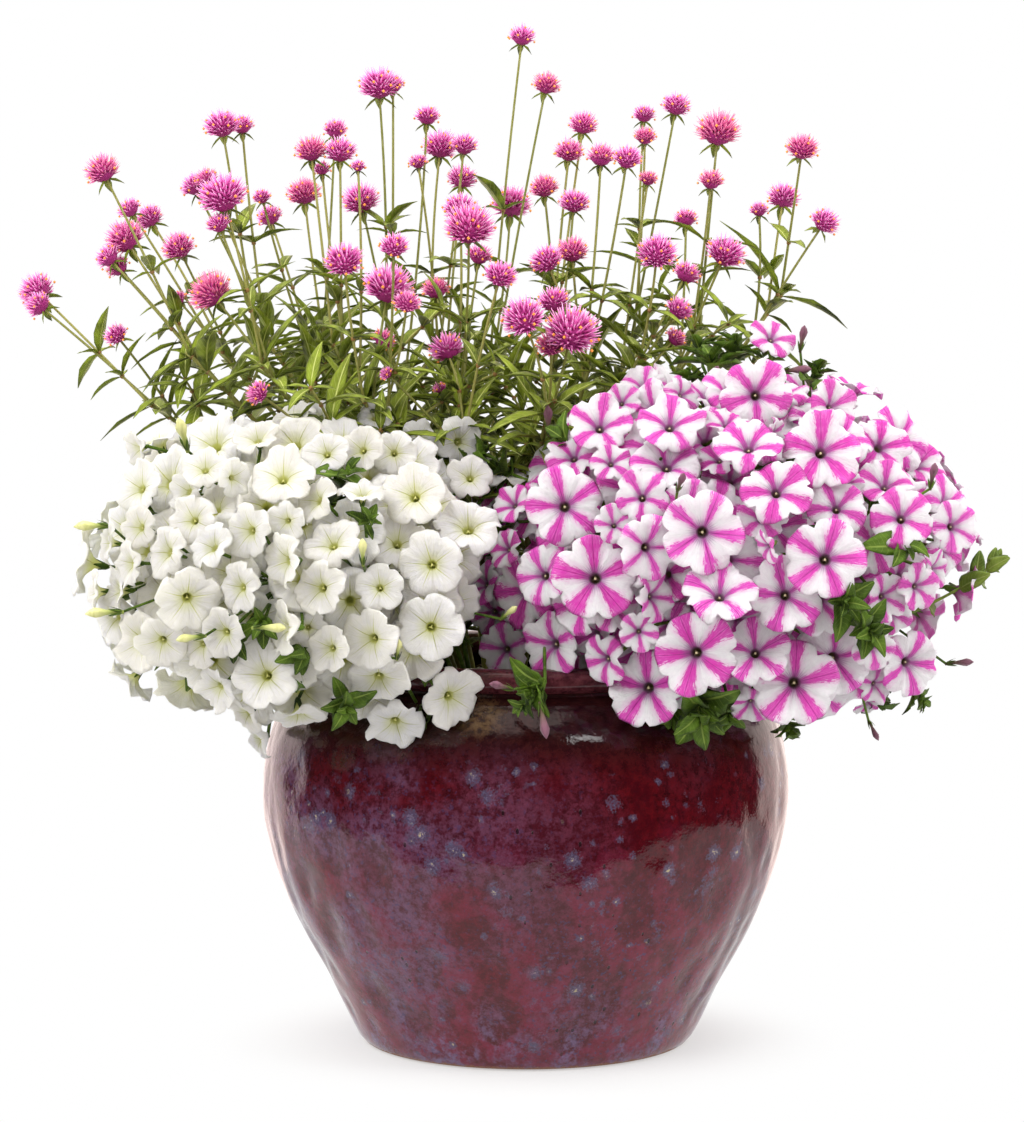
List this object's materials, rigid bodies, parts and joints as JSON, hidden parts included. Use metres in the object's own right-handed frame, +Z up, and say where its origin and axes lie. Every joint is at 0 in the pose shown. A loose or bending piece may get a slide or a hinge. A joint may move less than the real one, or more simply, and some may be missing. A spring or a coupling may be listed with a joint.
{
  "type": "potted globe amaranth",
  "caption": "Potted globe amaranth with round pink heads on tall stalks, over mounds of white and of striped petunias in a glazed round-bellied jar.",
  "frame": {"origin": "centre of the pot's flat foot, on the ground", "axes": "+Z up out of the pot, -Y towards the side where both petunias hang over the rim, +X to the right from there"},
  "size_m": [0.7326, 0.5404, 0.7821],
  "materials": {
    "pot": "glossy oxblood glaze with purple mottling, a brown collar and a bare clay foot line",
    "soil": "damp crumbly potting mix",
    "amaranth": "dry papery magenta heads over matt green leaves and stalks",
    "white_petunia": "soft white petals with a yellow-green throat, hairy green leaves",
    "striped_petunia": "soft white petals with a magenta star and a dark veined throat, hairy green leaves",
    "petunia_shoot": "hairy green stem and leaves"
  },
  "bodies": {
    "root": {"pot": "pot", "soil": "soil", "amaranth_spray_01": "amaranth", "amaranth_spray_02": "amaranth", "amaranth_spray_03": "amaranth", "amaranth_spray_04": "amaranth", "amaranth_spray_05": "amaranth", "amaranth_spray_06": "amaranth", "amaranth_spray_07": "amaranth", "amaranth_spray_08": "amaranth", "amaranth_spray_09": "amaranth", "amaranth_spray_10": "amaranth", "amaranth_spray_11": "amaranth", "amaranth_spray_12": "amaranth", "amaranth_spray_13": "amaranth", "amaranth_spray_14": "amaranth", "amaranth_spray_15": "amaranth", "amaranth_spray_16": "amaranth", "amaranth_spray_17": "amaranth", "amaranth_spray_18": "amaranth", "amaranth_spray_19": "amaranth", "amaranth_spray_20": "amaranth", "amaranth_spray_21": "amaranth", "white_petunia_stem_01": "white_petunia", "white_petunia_stem_02": "white_petunia", "white_petunia_stem_03": "white_petunia", "white_petunia_stem_04": "white_petunia", "white_petunia_stem_05": "white_petunia", "white_petunia_stem_06": "white_petunia", "white_petunia_stem_07": "white_petunia", "white_petunia_stem_08": "white_petunia", "white_petunia_stem_09": "white_petunia", "white_petunia_stem_10": "white_petunia", "white_petunia_stem_11": "white_petunia", "white_petunia_stem_12": "white_petunia", "white_petunia_stem_13": "white_petunia", "striped_petunia_stem_01": "striped_petunia", "striped_petunia_stem_02": "striped_petunia", "striped_petunia_stem_03": "striped_petunia", "striped_petunia_stem_04": "striped_petunia", "striped_petunia_stem_05": "striped_petunia", "striped_petunia_stem_06": "striped_petunia", "striped_petunia_stem_07": "striped_petunia", "striped_petunia_stem_08": "striped_petunia", "striped_petunia_stem_09": "striped_petunia", "striped_petunia_stem_10": "striped_petunia", "striped_petunia_stem_11": "striped_petunia", "striped_petunia_stem_12": "striped_petunia", "striped_petunia_stem_13": "striped_petunia", "striped_petunia_sprig": "petunia_shoot"}
  },
  "joints": []
}
